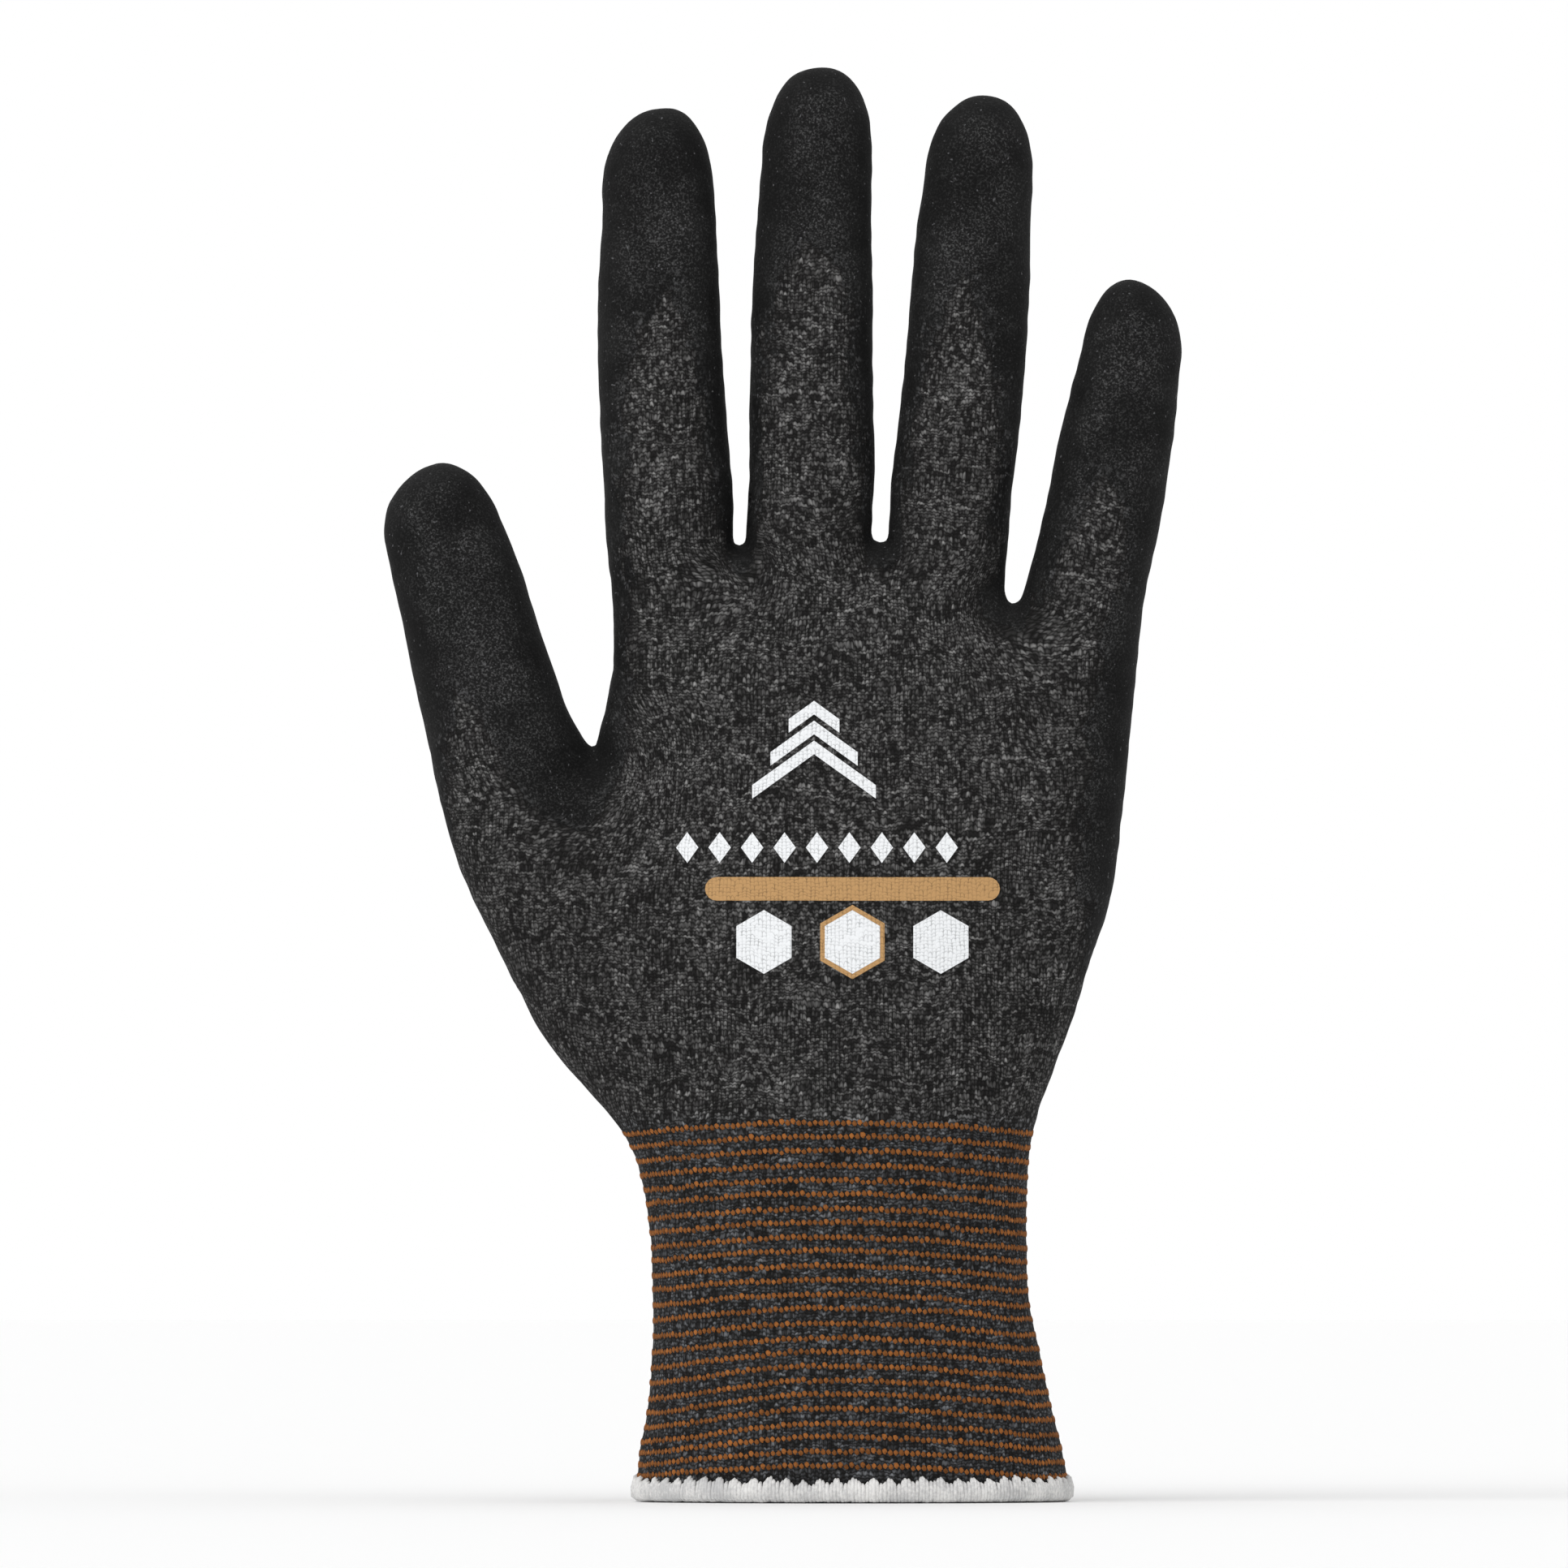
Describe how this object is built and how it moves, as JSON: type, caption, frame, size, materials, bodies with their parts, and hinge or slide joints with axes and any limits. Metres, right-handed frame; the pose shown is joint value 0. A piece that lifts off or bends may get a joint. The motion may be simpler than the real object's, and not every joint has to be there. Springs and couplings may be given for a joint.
{
  "type": "cut resistant glove",
  "caption": "Knitted right-hand work glove with a dipped palm and fingertips and a striped, hemmed cuff, that bends at the wrist, knuckles, fingers and thumb.",
  "frame": {"origin": "centre of the cuff opening, in the plane of the hem's lower edge", "axes": "+Z to the fingertips, +Y out of the palm, -Y out of the back of the hand, -X to the thumb"},
  "size_m": [0.1351, 0.0504, 0.244],
  "materials": {
    "knit": "black and grey melange knit",
    "coating": "matt black foam coating",
    "hem_thread": "white overedge thread",
    "stripe_yarn": "orange yarn",
    "elastic_yarn": "covered elastic yarn"
  },
  "bodies": {
    "cuff": {"cuff_knit": "knit", "hem_overlock": "hem_thread", "cuff_stripe_yarns": "stripe_yarn", "cuff_elastic_yarns": "elastic_yarn"},
    "hand": {"hand_knit": "knit", "palm_knit": "knit", "hand_coating": "coating", "palm_coating": "coating"},
    "knuckles": {"knuckle_knit": "knit", "knuckle_coating": "coating", "index_root_knit": "knit", "index_root_coating": "coating", "middle_root_knit": "knit", "middle_root_coating": "coating", "ring_root_knit": "knit", "ring_root_coating": "coating", "little_root_knit": "knit", "little_root_coating": "coating"},
    "index_mid": {"index_mid_knit": "knit", "index_mid_coating": "coating"},
    "index_tip": {"index_tip_knit": "knit", "index_tip_coating": "coating"},
    "middle_mid": {"middle_mid_knit": "knit", "middle_mid_coating": "coating"},
    "middle_tip": {"middle_tip_knit": "knit", "middle_tip_coating": "coating"},
    "ring_mid": {"ring_mid_knit": "knit", "ring_mid_coating": "coating"},
    "ring_tip": {"ring_tip_knit": "knit", "ring_tip_coating": "coating"},
    "little_mid": {"little_mid_knit": "knit", "little_mid_coating": "coating"},
    "little_tip": {"little_tip_knit": "knit", "little_tip_coating": "coating"},
    "thumb_root": {"thumb_root_knit": "knit", "thumb_root_coating": "coating"},
    "thumb_tip": {"thumb_tip_knit": "knit", "thumb_tip_coating": "coating"}
  },
  "joints": [
    {"name": "wrist_fold", "type": "hinge", "parent": "cuff", "child": "hand", "pos_m": [-0.0048, 0.023, 0.065], "axis": [-1, 0, 0], "range_deg": [0, 30], "stiffness_Nm_per_rad": 0.12},
    {"name": "knuckle_fold", "type": "hinge", "parent": "hand", "child": "knuckles", "pos_m": [0.00385, 0.01186, 0.138], "axis": [-0.9976, 0, 0.0698], "range_deg": [0, 80], "stiffness_Nm_per_rad": 0.05},
    {"name": "index_mid_bend", "type": "hinge", "parent": "knuckles", "child": "index_mid", "pos_m": [-0.03193, 0.00815, 0.18599], "axis": [-0.9995, 0, -0.0332], "range_deg": [0, 95], "stiffness_Nm_per_rad": 0.01},
    {"name": "index_tip_bend", "type": "hinge", "parent": "index_mid", "child": "index_tip", "pos_m": [-0.03266, 0.00856, 0.20797], "axis": [-0.9995, 0, -0.0332], "range_deg": [0, 62], "stiffness_Nm_per_rad": 0.006},
    {"name": "middle_mid_bend", "type": "hinge", "parent": "knuckles", "child": "middle_mid", "pos_m": [-0.00664, 0.00818, 0.19], "axis": [-0.9999, 0, 0.014], "range_deg": [0, 95], "stiffness_Nm_per_rad": 0.01},
    {"name": "middle_tip_bend", "type": "hinge", "parent": "middle_mid", "child": "middle_tip", "pos_m": [-0.0063, 0.00874, 0.21499], "axis": [-0.9999, 0, 0.014], "range_deg": [0, 62], "stiffness_Nm_per_rad": 0.006},
    {"name": "ring_mid_bend", "type": "hinge", "parent": "knuckles", "child": "ring_mid", "pos_m": [0.01871, 0.0078, 0.18541], "axis": [-0.9969, 0, 0.0785], "range_deg": [0, 95], "stiffness_Nm_per_rad": 0.01},
    {"name": "ring_tip_bend", "type": "hinge", "parent": "ring_mid", "child": "ring_tip", "pos_m": [0.02059, 0.0084, 0.20934], "axis": [-0.9969, 0, 0.0785], "range_deg": [0, 62], "stiffness_Nm_per_rad": 0.006},
    {"name": "little_mid_bend", "type": "hinge", "parent": "knuckles", "child": "little_mid", "pos_m": [0.04268, 0.00743, 0.16724], "axis": [-0.9869, 0, 0.1616], "range_deg": [0, 95], "stiffness_Nm_per_rad": 0.01},
    {"name": "little_tip_bend", "type": "hinge", "parent": "little_mid", "child": "little_tip", "pos_m": [0.04535, 0.00773, 0.18352], "axis": [-0.9869, 0, 0.1616], "range_deg": [0, 62], "stiffness_Nm_per_rad": 0.006},
    {"name": "thumb_base_bend", "type": "hinge", "parent": "hand", "child": "thumb_root", "pos_m": [-0.0585, 0.0106, 0.126], "axis": [-0.9636, 0, -0.2672], "range_deg": [0, 45], "stiffness_Nm_per_rad": 0.015},
    {"name": "thumb_tip_bend", "type": "hinge", "parent": "thumb_root", "child": "thumb_tip", "pos_m": [-0.06518, 0.00958, 0.15009], "axis": [-0.9636, 0, -0.2672], "range_deg": [0, 60], "stiffness_Nm_per_rad": 0.008}
  ],
  "couplings": [
    {"joint": "index_tip_bend", "follows": "index_mid_bend", "ratio": 0.65},
    {"joint": "middle_tip_bend", "follows": "middle_mid_bend", "ratio": 0.65},
    {"joint": "ring_tip_bend", "follows": "ring_mid_bend", "ratio": 0.65},
    {"joint": "little_tip_bend", "follows": "little_mid_bend", "ratio": 0.65}
  ]
}
